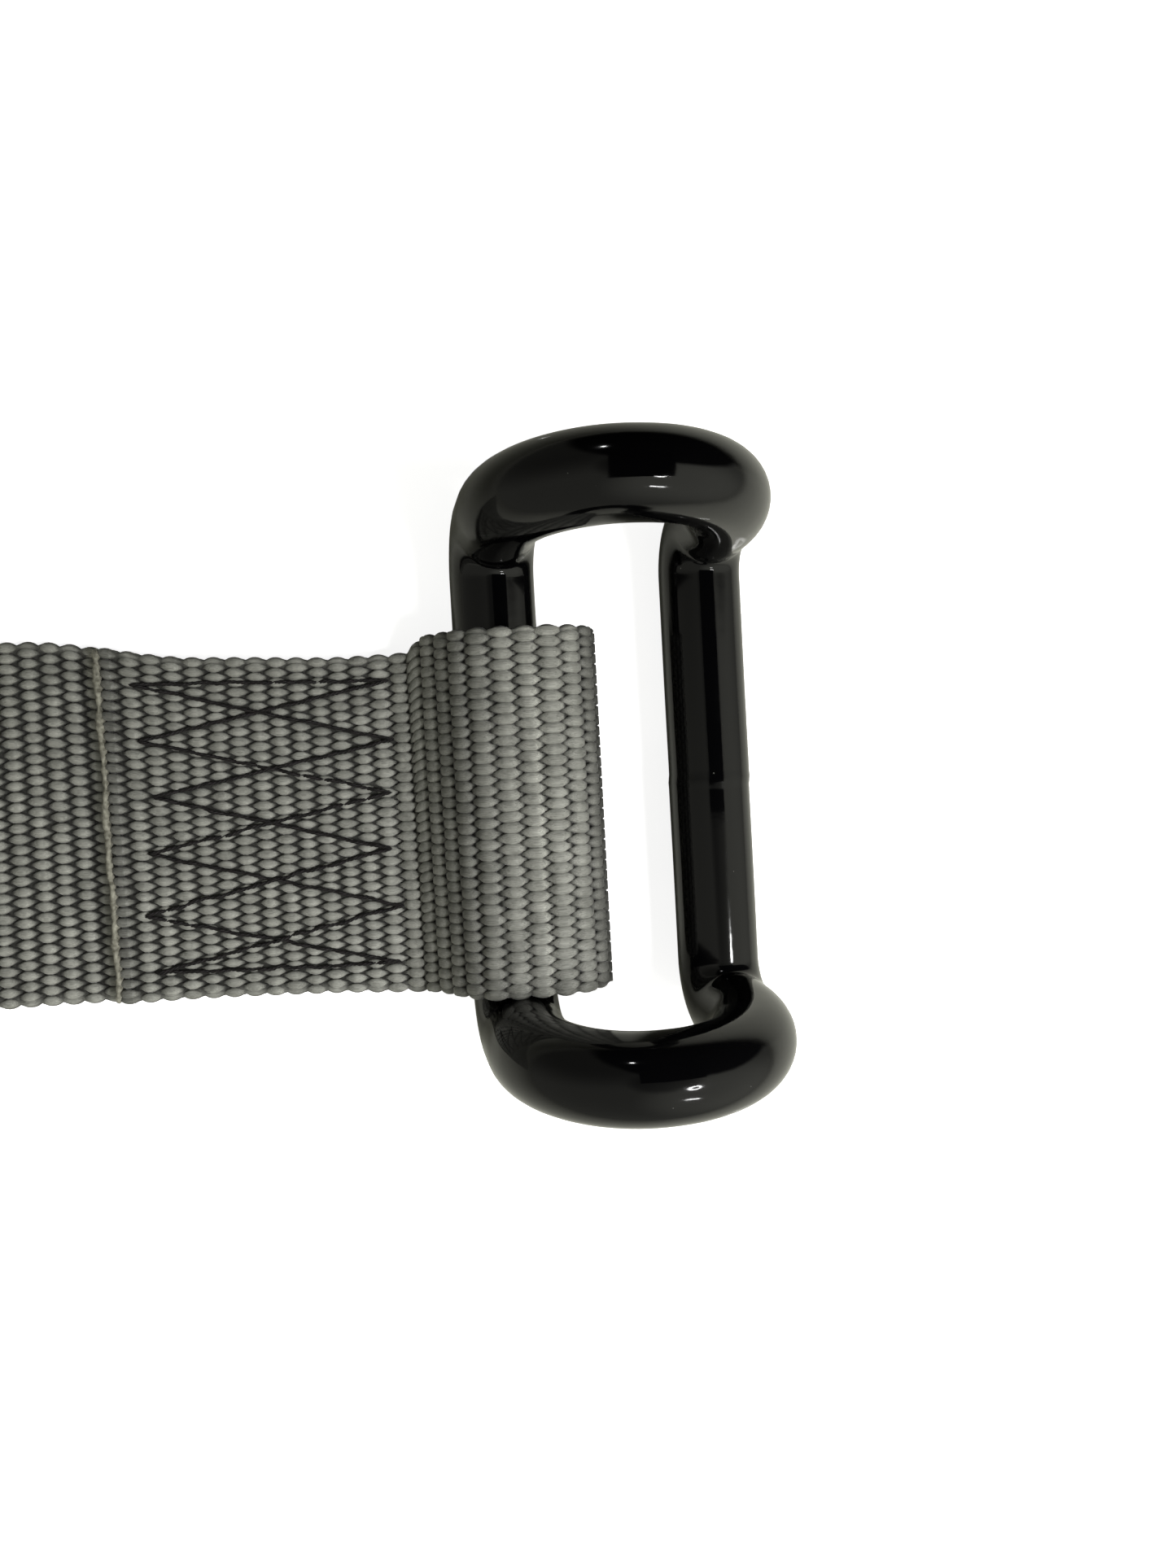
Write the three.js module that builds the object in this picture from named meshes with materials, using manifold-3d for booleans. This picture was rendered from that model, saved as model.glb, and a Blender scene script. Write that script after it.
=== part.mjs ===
// Short end of a curtain-side lorry strap: 50 mm woven webbing sewn back on itself round one leg
// of a closed hook bent from round steel bar. Millimetres, +Z up, strap along -X, width along Y.
// Origin: the strap's underside, below the axis of the captured leg, at mid width.
import * as THREE from 'three';
import { mergeVertices } from 'three/addons/utils/BufferGeometryUtils.js';
import Module from 'manifold-3d';

const wasm = await Module();
wasm.setup();

// Webbing
const WEBBING_WIDTH = 50;
const WEBBING_THICKNESS = 2.2;
const SELVEDGE_CHAMFER = 0.5;
const STRAP_LENGTH = 300; // captured leg to the heat-cut far end
const SEWN_WIDTH = 45.8; // the seam pulls the webbing in
const LOOP_WIDTH = 49;

// Loop round the captured leg, and the seam that closes it
const LOOP_REACH = 13.7; // captured leg's axis to the loop's outer end
const LOOP_SLOPE = THREE.MathUtils.degToRad(55); // how steeply the upper layer comes down
const LOOP_FLARE_RADIUS = 5; // hollow bend where the slope meets the seam
const TAIL_END = 52.7; // captured leg's axis to the folded tail's cut end
const NARROWING_START = 66; // distances from the captured leg
const NARROWING_FULL = 42;
const WIDENING_START = 20;
const WIDENING_FULL = 5;

// Hook bar
const BAR_DIAMETER = 11.4; // painted bar
const LEG_SPACING = 29.6; // axis to axis
const LEG_STRAIGHT = 54;
const FOLD_RADIUS = 7; // bar axis, where a leg turns up into a side arch
const ARCH_HEIGHT = 24; // arch axis above the legs' axes
const ARCH_LEAN = THREE.MathUtils.degToRad(6.6); // each arch leans outwards
const ARCH_BEND_RADIUS = 14.5; // bar axis
const HOOK_SLIDE = 3; // the hook lies a little off the webbing's middle

// Sewing
const THREAD_DIAMETER = 0.6;
const THREAD_SUNK = 0.38; // how deep the top thread is pulled into the weave
const SEAM_NEAR_END = 15; // distances from the captured leg
const SEAM_FAR_END = 48;
const SEAM_MARGIN = 3.4; // seam to each edge of the narrowed webbing
const CROSSES = 5;

// Clearances
const LAYER_GAP = 0.3;
const BAR_SEAT_GAP = 0.3; // lower layer to the bar that lies on it
const BAR_CROWN_GAP = 0.4; // bar to the upper layer
const THREAD_GAP = 0.3;
const FLOOR_GAP = 0.05; // keeps the underside thread off the floor

// Roundness of the faceted surfaces
const BAR_SIDES = 20;
const FOLD_STEPS = 8;
const ARCH_STEPS = 10;
const LOOP_STEPS = 16;
const THREAD_SIDES = 6;
const STATION_PITCH = 4; // spacing of sections where the webbing's width changes

// Places worked out from the sizes above
const barRadius = BAR_DIAMETER / 2;
const halfThickness = WEBBING_THICKNESS / 2;
const capturedLegZ = WEBBING_THICKNESS + BAR_SEAT_GAP + barRadius;
const hookTilt = Math.asin((capturedLegZ - barRadius) / LEG_SPACING);
const lowerMidZ = halfThickness;
const upperMidZ = WEBBING_THICKNESS + LAYER_GAP + halfThickness;
const crownRadius = barRadius + BAR_CROWN_GAP + halfThickness;
const crownZ = capturedLegZ + crownRadius;
const noseRadius = (crownZ - lowerMidZ) / 2;
const noseX = LOOP_REACH - halfThickness - noseRadius;

const materials = {
  webbing: new THREE.MeshStandardMaterial({ color: 0x5f615c, roughness: 0.8, metalness: 0 }),
  paint: new THREE.MeshStandardMaterial({ color: 0x0a0a0b, roughness: 0.15, metalness: 0 }),
  thread: new THREE.MeshStandardMaterial({ color: 0x14120f, roughness: 0.7, metalness: 0 }),
};

// Circular bend: starts at centre + from and turns towards across.
class Bend extends THREE.Curve {
  constructor(centre, from, across, angle) {
    super();
    Object.assign(this, { centre, from, across, angle });
  }

  getPoint(t, target = new THREE.Vector3()) {
    return target.copy(this.centre)
      .addScaledVector(this.from, Math.cos(t * this.angle))
      .addScaledVector(this.across, Math.sin(t * this.angle));
  }
}

// Points along a run of joined curves, each with its own number of steps.
function samplePath(runs) {
  const points = [];
  const tangents = [];
  for (const { curve, steps } of runs) {
    for (let i = 0; i < steps; i++) {
      points.push(curve.getPoint(i / steps));
      tangents.push(curve.getTangent(i / steps));
    }
  }
  return { points, tangents };
}

function geometryFrom(vertices, triangles) {
  const geometry = new THREE.BufferGeometry();
  geometry.setAttribute('position', new THREE.Float32BufferAttribute(vertices, 3));
  geometry.setIndex(triangles);
  geometry.computeVertexNormals();
  return geometry;
}

// Round bar along a closed path; the section is carried along without twisting.
function closedBar({ points, tangents }, radius, sides) {
  const count = points.length;
  const normal = new THREE.Vector3(1, 0, 0);
  const normals = [];
  for (const tangent of tangents) {
    normal.addScaledVector(tangent, -normal.dot(tangent)).normalize();
    normals.push(normal.clone());
  }
  const last = normal.clone().addScaledVector(tangents[0], -normal.dot(tangents[0])).normalize();
  const twist = Math.atan2(last.clone().cross(normals[0]).dot(tangents[0]), last.dot(normals[0]));
  const vertices = [];
  const triangles = [];
  for (let i = 0; i < count; i++) {
    const side = normals[i].clone().applyAxisAngle(tangents[i], (twist * i) / count);
    const across = tangents[i].clone().cross(side);
    for (let k = 0; k < sides; k++) {
      const angle = (2 * Math.PI * k) / sides;
      const vertex = points[i].clone()
        .addScaledVector(side, radius * Math.cos(angle))
        .addScaledVector(across, radius * Math.sin(angle));
      vertices.push(vertex.x, vertex.y, vertex.z);
      const a = i * sides + k;
      const b = i * sides + ((k + 1) % sides);
      const c = ((i + 1) % count) * sides + k;
      const d = ((i + 1) % count) * sides + ((k + 1) % sides);
      triangles.push(a, b, d, a, d, c);
    }
  }
  return geometryFrom(vertices, triangles);
}

// Hook in its own frame: captured leg's axis at x = 0, free leg at +X, arches rising along +Z.
function hookPath() {
  const half = LEG_STRAIGHT / 2;
  const turn = Math.PI / 2 - ARCH_LEAN;
  const bend = Math.min(ARCH_BEND_RADIUS, LEG_SPACING / 2);
  const foldRise = FOLD_RADIUS * (1 - Math.cos(turn));
  const wall = (ARCH_HEIGHT - foldRise) / Math.sin(turn) - bend;
  const flat = LEG_SPACING - 2 * bend;
  const vector = (x, y, z) => new THREE.Vector3(x, y, z);
  const line = (start, direction, length) =>
    new THREE.LineCurve3(start, start.clone().addScaledVector(direction, length));
  const runs = [];
  // One half turn of the hook: up from leg "from", over the arch at side s, down to leg "to".
  const halfTurn = (from, to, s) => {
    const along = Math.sign(to - from);
    const up = vector(0, s * Math.cos(turn), Math.sin(turn));
    const down = up.clone().negate();
    const over = vector(along, 0, 0);
    const foot = vector(from, s * (half + FOLD_RADIUS * Math.sin(turn)), foldRise);
    const shoulder = foot.clone().addScaledVector(up, wall);
    const top = shoulder.clone().addScaledVector(over, bend).addScaledVector(up, bend);
    const farTop = top.clone().addScaledVector(over, flat);
    const farShoulder = farTop.clone().addScaledVector(over, bend).addScaledVector(up, -bend);
    runs.push({ curve: line(vector(from, -s * half, 0), vector(0, s, 0), LEG_STRAIGHT), steps: 1 });
    runs.push({
      curve: new Bend(vector(from, s * half, FOLD_RADIUS), vector(0, 0, -FOLD_RADIUS),
        vector(0, s * FOLD_RADIUS, 0), turn),
      steps: FOLD_STEPS,
    });
    runs.push({ curve: line(foot, up, wall), steps: 1 });
    runs.push({
      curve: new Bend(shoulder.clone().addScaledVector(over, bend), over.clone().multiplyScalar(-bend),
        up.clone().multiplyScalar(bend), Math.PI / 2),
      steps: ARCH_STEPS,
    });
    if (flat > 0) runs.push({ curve: line(top, over, flat), steps: 1 });
    runs.push({
      curve: new Bend(farTop.clone().addScaledVector(up, -bend), up.clone().multiplyScalar(bend),
        over.clone().multiplyScalar(bend), Math.PI / 2),
      steps: ARCH_STEPS,
    });
    runs.push({ curve: line(farShoulder, down, wall), steps: 1 });
    runs.push({
      curve: new Bend(vector(to, s * half, FOLD_RADIUS),
        vector(0, s * FOLD_RADIUS * Math.sin(turn), -FOLD_RADIUS * Math.cos(turn)),
        down.clone().multiplyScalar(FOLD_RADIUS), turn),
      steps: FOLD_STEPS,
    });
  };
  halfTurn(0, LEG_SPACING, 1);
  halfTurn(LEG_SPACING, 0, -1);
  return samplePath(runs);
}

// Webbing width at a distance behind the captured leg: full, pulled in by the seam, full again.
function widthAt(distance) {
  const { smoothstep, lerp } = THREE.MathUtils;
  if (distance < NARROWING_FULL) {
    return lerp(LOOP_WIDTH, SEWN_WIDTH, smoothstep(distance, WIDENING_FULL, WIDENING_START));
  }
  return lerp(SEWN_WIDTH, WEBBING_WIDTH, smoothstep(distance, NARROWING_FULL, NARROWING_START));
}

// Middle line of the folded webbing, seen from the side, from the far end to the tail's cut end.
function strapPath() {
  const point = (x, z) => new THREE.Vector3(x, 0, z);
  const flareZ = upperMidZ + LOOP_FLARE_RADIUS;
  const reach = crownRadius + LOOP_FLARE_RADIUS;
  const slopeLength = (capturedLegZ - flareZ + reach * Math.cos(LOOP_SLOPE)) / Math.sin(LOOP_SLOPE);
  const flareX = -reach * Math.sin(LOOP_SLOPE) - slopeLength * Math.cos(LOOP_SLOPE);
  const slopeTop = point(-crownRadius * Math.sin(LOOP_SLOPE),
    capturedLegZ + crownRadius * Math.cos(LOOP_SLOPE));
  const slopeFoot = point(flareX + LOOP_FLARE_RADIUS * Math.sin(LOOP_SLOPE),
    flareZ - LOOP_FLARE_RADIUS * Math.cos(LOOP_SLOPE));
  const steps = (length) => Math.ceil(length / STATION_PITCH);
  const straight = (start, end, count) => ({ curve: new THREE.LineCurve3(start, end), steps: count });
  const path = samplePath([
    straight(point(-STRAP_LENGTH, lowerMidZ), point(-NARROWING_START, lowerMidZ), 1),
    straight(point(-NARROWING_START, lowerMidZ), point(noseX, lowerMidZ), steps(NARROWING_START + noseX)),
    {
      curve: new Bend(point(noseX, (crownZ + lowerMidZ) / 2), point(0, -noseRadius), point(noseRadius, 0),
        Math.PI),
      steps: LOOP_STEPS,
    },
    straight(point(noseX, crownZ), point(0, crownZ), 1),
    {
      curve: new Bend(point(0, capturedLegZ), point(0, crownRadius), point(-crownRadius, 0), LOOP_SLOPE),
      steps: LOOP_STEPS / 2,
    },
    straight(slopeTop, slopeFoot, 2),
    {
      curve: new Bend(point(flareX, flareZ),
        point(LOOP_FLARE_RADIUS * Math.sin(LOOP_SLOPE), -LOOP_FLARE_RADIUS * Math.cos(LOOP_SLOPE)),
        point(-LOOP_FLARE_RADIUS * Math.cos(LOOP_SLOPE), -LOOP_FLARE_RADIUS * Math.sin(LOOP_SLOPE)),
        LOOP_SLOPE),
      steps: LOOP_STEPS / 2,
    },
    straight(point(flareX, upperMidZ), point(-TAIL_END, upperMidZ), steps(TAIL_END + flareX)),
  ]);
  path.points.push(point(-TAIL_END, upperMidZ));
  path.tangents.push(point(-1, 0));
  return path;
}

// Flat ribbon with chamfered selvedges, swept along the folded middle line.
function foldedWebbing({ points, tangents }) {
  const vertices = [];
  const triangles = [];
  const flat = halfThickness - SELVEDGE_CHAMFER;
  const corners = 8;
  points.forEach((middle, i) => {
    const edge = widthAt(-middle.x) / 2;
    const inner = edge - SELVEDGE_CHAMFER;
    const up = new THREE.Vector3(-tangents[i].z, 0, tangents[i].x);
    const section = [
      [inner, halfThickness], [edge, flat], [edge, -flat], [inner, -halfThickness],
      [-inner, -halfThickness], [-edge, -flat], [-edge, flat], [-inner, halfThickness],
    ];
    for (const [y, height] of section) {
      vertices.push(middle.x + up.x * height, y, middle.z + up.z * height);
    }
    if (i === 0) return;
    for (let k = 0; k < corners; k++) {
      const a = (i - 1) * corners + k;
      const b = (i - 1) * corners + ((k + 1) % corners);
      triangles.push(a, a + corners, b, b, a + corners, b + corners);
    }
  });
  const end = (points.length - 1) * corners;
  for (let k = 1; k < corners - 1; k++) {
    triangles.push(0, k, k + 1);
    triangles.push(end, end + k + 1, end + k);
  }
  return geometryFrom(vertices, triangles);
}

function toSolid(geometry) {
  const plain = geometry.clone();
  plain.deleteAttribute('normal');
  plain.deleteAttribute('uv');
  const merged = mergeVertices(plain);
  return new wasm.Manifold(new wasm.Mesh({
    numProp: 3,
    vertProperties: new Float32Array(merged.attributes.position.array),
    triVerts: new Uint32Array(merged.index.array),
  }));
}

function toGeometry(solid) {
  const mesh = solid.getMesh();
  return geometryFrom(Array.from(mesh.vertProperties), Array.from(mesh.triVerts));
}

// Seam route: two zigzags that cross between the same rows, closed by a line along each edge.
function seamSegments() {
  const halfWidth = SEWN_WIDTH / 2 - SEAM_MARGIN;
  const row = (i) => halfWidth - (2 * halfWidth * i) / CROSSES;
  const near = (i) => new THREE.Vector2(-SEAM_NEAR_END, row(i));
  const far = (i) => new THREE.Vector2(-SEAM_FAR_END, row(i));
  const segments = [[near(0), far(0)], [near(CROSSES), far(CROSSES)]];
  for (let i = 0; i < CROSSES; i++) {
    segments.push([near(i), far(i + 1)], [far(i), near(i + 1)]);
  }
  return segments;
}

// The whole seam as one solid of round rods lying at a height; margin makes its groove.
function seamSolid(height, radius, sides) {
  let solid = null;
  for (const [start, end] of seamSegments()) {
    const run = end.clone().sub(start);
    const rod = new THREE.CylinderGeometry(radius, radius, run.length() + 2 * radius, sides);
    rod.rotateZ(run.angle() - Math.PI / 2);
    rod.translate((start.x + end.x) / 2, (start.y + end.y) / 2, height);
    solid = solid ? solid.add(toSolid(rod)) : toSolid(rod);
  }
  return solid;
}

function makeMesh(name, geometry, material) {
  const mesh = new THREE.Mesh(geometry, material);
  mesh.name = name;
  return mesh;
}

const threadRadius = THREAD_DIAMETER / 2;
const stackTop = 2 * WEBBING_THICKNESS + LAYER_GAP;
const topThreadZ = stackTop - THREAD_SUNK + threadRadius;
const undersideThreadZ = FLOOR_GAP + threadRadius;
const grooveRadius = threadRadius + THREAD_GAP;

const strap = new THREE.Group();
const webbing = toSolid(foldedWebbing(strapPath()))
  .subtract(seamSolid(topThreadZ, grooveRadius, THREAD_SIDES))
  .subtract(seamSolid(undersideThreadZ, grooveRadius, THREAD_SIDES));
strap.add(makeMesh('webbing_strap', toGeometry(webbing), materials.webbing));
strap.add(makeMesh('seam_thread_top', toGeometry(seamSolid(topThreadZ, threadRadius, THREAD_SIDES)),
  materials.thread));
strap.add(makeMesh('seam_thread_underside',
  toGeometry(seamSolid(undersideThreadZ, threadRadius, THREAD_SIDES)), materials.thread));

const hook = new THREE.Group();
hook.position.set(0, HOOK_SLIDE, capturedLegZ);
hook.rotation.y = hookTilt;
hook.add(makeMesh('closed_hook', closedBar(hookPath(), barRadius, BAR_SIDES), materials.paint));

const part = new THREE.Group();
part.add(strap, hook);

export default part;
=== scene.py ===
# %% [markdown]
# # A strap end with a closed hook
#
# The object is the end of a curtain-side lorry strap. Grey woven webbing is folded back round one
# leg of a closed hook, bent from round steel bar, and sewn down with a row of crosses.
#
# The measured model is loaded first, and every piece made here sits where that model says.
# All lengths are in metres, so the small sizes below are written in millimetres times MM.

# %% Load the measured model
import math

import bpy
import numpy as np
from mathutils import Matrix, Vector


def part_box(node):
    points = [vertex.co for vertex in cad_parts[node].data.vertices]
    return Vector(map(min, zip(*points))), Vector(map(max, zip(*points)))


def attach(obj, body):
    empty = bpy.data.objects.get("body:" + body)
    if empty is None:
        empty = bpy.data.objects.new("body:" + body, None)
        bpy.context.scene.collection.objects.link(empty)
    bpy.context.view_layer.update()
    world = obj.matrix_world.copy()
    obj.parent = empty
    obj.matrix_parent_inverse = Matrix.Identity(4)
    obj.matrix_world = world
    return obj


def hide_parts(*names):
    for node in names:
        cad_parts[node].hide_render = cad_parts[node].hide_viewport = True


MM = 0.001
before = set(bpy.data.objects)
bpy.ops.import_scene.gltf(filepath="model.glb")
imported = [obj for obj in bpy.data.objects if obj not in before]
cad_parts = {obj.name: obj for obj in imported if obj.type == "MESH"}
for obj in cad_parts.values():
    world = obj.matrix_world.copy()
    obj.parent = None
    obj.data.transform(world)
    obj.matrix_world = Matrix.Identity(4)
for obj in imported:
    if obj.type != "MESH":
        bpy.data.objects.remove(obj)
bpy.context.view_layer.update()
strap_low, strap_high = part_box("webbing_strap")
hook_low, hook_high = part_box("closed_hook")

# %% [markdown]
# ## The camera
#
# The photograph was taken by hand from straight above, with a small camera about 16 cm over the
# strap. At such a short distance the near parts look clearly bigger than the far ones, and the
# hook's standing arches swell towards the lens. So the distance matters as much as the angle.
#
# A 26 mm lens on a 36 mm sensor gives the angle of view of a phone's main camera. The place and
# the direction come from lining up the bar's edges, which have one diameter all the way round.

# %% Camera
LENS = 26.0
CAMERA_PLACE = Vector((-11.3, 7.66, 162.85)) * MM
CAMERA_TARGET = Vector((11.67, 1.93, 8.2)) * MM
CAMERA_UP = Vector((0.0592, 0.9978, -0.0282))


def aim(place, target, up):
    """Matrix of something that looks from place to target, along its own -Z."""
    back = (place - target).normalized()
    right = up.cross(back).normalized()
    upright = back.cross(right)
    turn = Matrix((right, upright, back)).transposed()
    return Matrix.Translation(place) @ turn.to_4x4()


camera = bpy.data.objects.new("camera", bpy.data.cameras.new("camera"))
camera.data.lens = LENS
camera.data.sensor_width = 36.0
camera.data.clip_start = 0.005
camera.matrix_world = aim(CAMERA_PLACE, CAMERA_TARGET, CAMERA_UP)
bpy.context.scene.collection.objects.link(camera)
bpy.context.scene.camera = camera
print("camera", round((CAMERA_PLACE - CAMERA_TARGET).length / MM), "mm from the hook's window")

# %% [markdown]
# ## Meshes from rows of points
#
# Yarns, thread and bar are all the same kind of shape: a round or oval section carried along a
# line. Each one is a stack of rings of points, and the rings are joined by four-sided faces.
# Writing that once, with arrays, is faster than any modifier and gives clean closed meshes.
#
# The helper takes many tubes of the same length at once, because webbing has dozens of yarns.

# %% Tube helper
def tube_faces(tubes, stations, sides, closed=False):
    """Four-sided faces of several tubes whose points are numbered tube, station, side."""
    last = stations if closed else stations - 1
    numbering = [np.arange(count) for count in (tubes, last, sides)]
    tube, station, side = np.meshgrid(*numbering, indexing="ij")
    start = tube * stations * sides
    here = start + station * sides
    ahead = start + ((station + 1) % stations) * sides
    beside = (side + 1) % sides
    corners = [here + side, ahead + side, ahead + beside, here + beside]
    walls = np.stack(corners, -1).reshape(-1, 4)
    if closed:
        return walls
    strips = np.arange(sides // 2 - 1)
    lid = np.stack([strips, strips + 1, sides - 2 - strips, sides - 1 - strips], -1)
    first = (np.arange(tubes) * stations * sides)[:, None, None]
    front = (first + lid).reshape(-1, 4)
    back = (first + (stations - 1) * sides + lid[:, ::-1]).reshape(-1, 4)
    return np.concatenate([walls, front, back])


def make_piece(name, points, faces, place=None):
    """New smooth mesh object. place is each point's place on the flat webbing, for materials."""
    mesh = bpy.data.meshes.new(name)
    mesh.vertices.add(points.size // 3)
    mesh.vertices.foreach_set("co", points.astype(np.float32).ravel())
    mesh.loops.add(faces.size)
    mesh.loops.foreach_set("vertex_index", faces.astype(np.int32).ravel())
    mesh.polygons.add(len(faces))
    mesh.polygons.foreach_set("loop_start", np.arange(0, faces.size, 4, dtype=np.int32))
    mesh.update(calc_edges=True)
    mesh.shade_smooth()
    if place is not None:
        layer = mesh.attributes.new("flat_place", "FLOAT_VECTOR", "POINT")
        layer.data.foreach_set("vector", place.astype(np.float32).ravel())
    piece = bpy.data.objects.new(name, mesh)
    bpy.context.scene.collection.objects.link(piece)
    print(name, len(mesh.vertices), "points,", 2 * len(mesh.polygons), "triangles")
    return piece


# %% [markdown]
# ## How the webbing lies
#
# Webbing is woven flat and folded afterwards. So it is easiest to make it flat too, and to have
# one function that lays any flat point in its place: along the strap, round the loop and back.
#
# Seen from the side, the middle line of the webbing is a chain of straights and bends. Each one
# is a length and a bend radius, and the next one starts where the last one ends.

# %% Side view of the fold
THICKNESS = 2.2 * MM
WEBBING_WIDTH = strap_high.y - strap_low.y
BAR_RADIUS = 5.7 * MM
BAR_HEIGHT = 8.2 * MM
CROWN_RADIUS = BAR_RADIUS + 0.4 * MM + THICKNESS / 2
LAYER_GAP = 0.3 * MM
SLOPE = math.radians(55)
FLARE_RADIUS = 5 * MM
TAIL_END = 52.7 * MM

low_middle = THICKNESS / 2
high_middle = 1.5 * THICKNESS + LAYER_GAP
crown_height = BAR_HEIGHT + CROWN_RADIUS
nose_radius = (crown_height - low_middle) / 2
nose_x = strap_high.x - THICKNESS / 2 - nose_radius
flare_height = high_middle + FLARE_RADIUS
reach = CROWN_RADIUS + FLARE_RADIUS
slope_length = (BAR_HEIGHT - flare_height + reach * math.cos(SLOPE)) / math.sin(SLOPE)
flare_x = -reach * math.sin(SLOPE) - slope_length * math.cos(SLOPE)

fold = [
    ("strap", nose_x - strap_low.x, None),
    ("nose", math.pi * nose_radius, nose_radius),
    ("crown", nose_x, None),
    ("over the bar", SLOPE * CROWN_RADIUS, CROWN_RADIUS),
    ("slope", slope_length, None),
    ("flare", SLOPE * FLARE_RADIUS, -FLARE_RADIUS),
    ("tail", TAIL_END + flare_x, None),
]
webbing_length = sum(length for _, length, _ in fold)
for name, length, radius in fold:
    print(f"{name}: {length / MM:.1f} mm")
print(f"webbing cut {webbing_length / MM:.0f} mm long")

# %% [markdown]
# The seam pulls the webbing narrower, from 50 mm to about 46 mm, and it widens again towards the
# loop and past the tail. It was also put down by hand, a little crooked. The two functions below
# are the one place that knows this, and every yarn follows them. Distances are measured from the
# captured leg, and each change of width or place happens over its own range of them.

# %% Width and crookedness
SEWN_WIDTH = 46.4 * MM
CORNER_FLARE = 1.7 * MM
CORNER_FLARE_RANGE = (8.9 * MM, 12.6 * MM)
SEAM_FLARE = 0.9 * MM
SEAM_FLARE_RANGE = (12 * MM, 24 * MM)
SLACK_FLARE = 2.9 * MM
SLACK_FLARE_RANGE = (40 * MM, 62 * MM)


def smooth_step(value, start, end):
    t = np.clip((value - start) / (end - start), 0, 1)
    return t * t * (3 - 2 * t)


def width_behind(distance):
    """Webbing width at a distance behind the captured leg."""
    corner = CORNER_FLARE * (1 - smooth_step(distance, *CORNER_FLARE_RANGE))
    seam = SEAM_FLARE * (1 - smooth_step(distance, *SEAM_FLARE_RANGE))
    slack = SLACK_FLARE * smooth_step(distance, *SLACK_FLARE_RANGE)
    return SEWN_WIDTH + corner + seam + slack


LOOP_SHIFT = -1.1 * MM
CORNER_SHIFT = -1.1 * MM
CORNER_SHIFT_RANGE = (9 * MM, 12.5 * MM)
SEAM_SHIFT = 1.1 * MM
SEAM_SHIFT_RANGE = (12 * MM, 46 * MM)
TAIL_SHIFT = 1.7 * MM
TAIL_SHIFT_RANGE = (39 * MM, 64 * MM)
SLACK_SHIFT = -0.8 * MM
SLACK_SHIFT_RANGE = (90 * MM, 200 * MM)


def sideways(distance):
    """How far the strap lies off its straight line at a distance behind the captured leg."""
    corner = CORNER_SHIFT * smooth_step(distance, *CORNER_SHIFT_RANGE)
    seam = SEAM_SHIFT * smooth_step(distance, *SEAM_SHIFT_RANGE)
    tail = TAIL_SHIFT * smooth_step(distance, *TAIL_SHIFT_RANGE)
    slack = SLACK_SHIFT * smooth_step(distance, *SLACK_SHIFT_RANGE)
    return LOOP_SHIFT + corner + seam + tail + slack


# %% [markdown]
# Laying a flat point takes two steps. The middle line is followed to the point's distance along
# the webbing, which gives a place and a heading. Then the point is moved sideways by its place
# across, and off the middle line, square to the heading, by its height in the thickness.

# %% Lay a flat point in its place
def middle_line(along):
    """x, z and heading of the middle line at distances from the far end."""
    x = strap_low.x + along
    z = np.full_like(x, low_middle)
    heading = np.zeros_like(x)
    start, at_x, at_z, turned = 0.0, strap_low.x, low_middle, 0.0
    for name, length, radius in fold:
        here = along >= start
        t = along[here] - start
        if radius is None:
            x[here] = at_x + t * math.cos(turned)
            z[here] = at_z + t * math.sin(turned)
            heading[here] = turned
            end = (at_x + length * math.cos(turned), at_z + length * math.sin(turned), turned)
        else:
            angle = turned + t / radius
            x[here] = at_x + radius * (np.sin(angle) - math.sin(turned))
            z[here] = at_z + radius * (math.cos(turned) - np.cos(angle))
            heading[here] = angle
            last = turned + length / radius
            end = (
                at_x + radius * (math.sin(last) - math.sin(turned)),
                at_z + radius * (math.cos(turned) - math.cos(last)),
                last,
            )
        start += length
        at_x, at_z, turned = end
    return x, z, heading


def lay(along, across, proud):
    """Points of the folded webbing. proud is the height over the middle, on the loop's outer side."""
    x, z, heading = middle_line(along)
    y = across * width_behind(-x) / WEBBING_WIDTH + sideways(-x)
    return np.stack([x + proud * np.sin(heading), y, z - proud * np.cos(heading)], -1)


print("tail end lies at x", round(float(lay(np.array([webbing_length]), 0, 0)[0, 0]) / MM, 1))

# %% [markdown]
# ## The seam's route
#
# The machine sews two zigzags that cross each other between the same rows, and joins them with a
# line along each edge, all in one closed route. Webbing guided by hand is never sewn quite evenly,
# so the corners get small seeded offsets. The yarns need this route too: the thread presses them
# down.

# %% Seam route
SEAM_NEAR = 15 * MM
SEAM_FAR = 48 * MM
SEAM_MARGIN = 3.9 * MM
CROSSES = 5
NEAR_ROWS_SHIFT = -1.9 * MM
FAR_ROWS_SHIFT = -0.6 * MM
NEAR_SCATTER = (0.7 * MM, 0.35 * MM)
FAR_SCATTER = (1.4 * MM, 0.35 * MM)
rng = np.random.default_rng(7)

rows = np.linspace(1, -1, CROSSES + 1) * (SEWN_WIDTH / 2 - SEAM_MARGIN)
near_corners = np.stack([np.full(CROSSES + 1, -SEAM_NEAR), rows + NEAR_ROWS_SHIFT], -1)
far_corners = np.stack([np.full(CROSSES + 1, -SEAM_FAR), rows + FAR_ROWS_SHIFT], -1)
near_corners += rng.uniform(-1, 1, near_corners.shape) * NEAR_SCATTER
far_corners += rng.uniform(-1, 1, far_corners.shape) * FAR_SCATTER
there = [far_corners[i] if i % 2 == 0 else near_corners[i] for i in range(CROSSES + 1)]
back = [near_corners[i] if i % 2 == 0 else far_corners[i] for i in range(CROSSES, -1, -1)]
seam_corners = np.array(there + back)
seam_length = np.linalg.norm(seam_corners - np.roll(seam_corners, 1, 0), axis=1).sum()
print(f"seam {seam_length / MM:.0f} mm round, {len(seam_corners)} corners")


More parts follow.
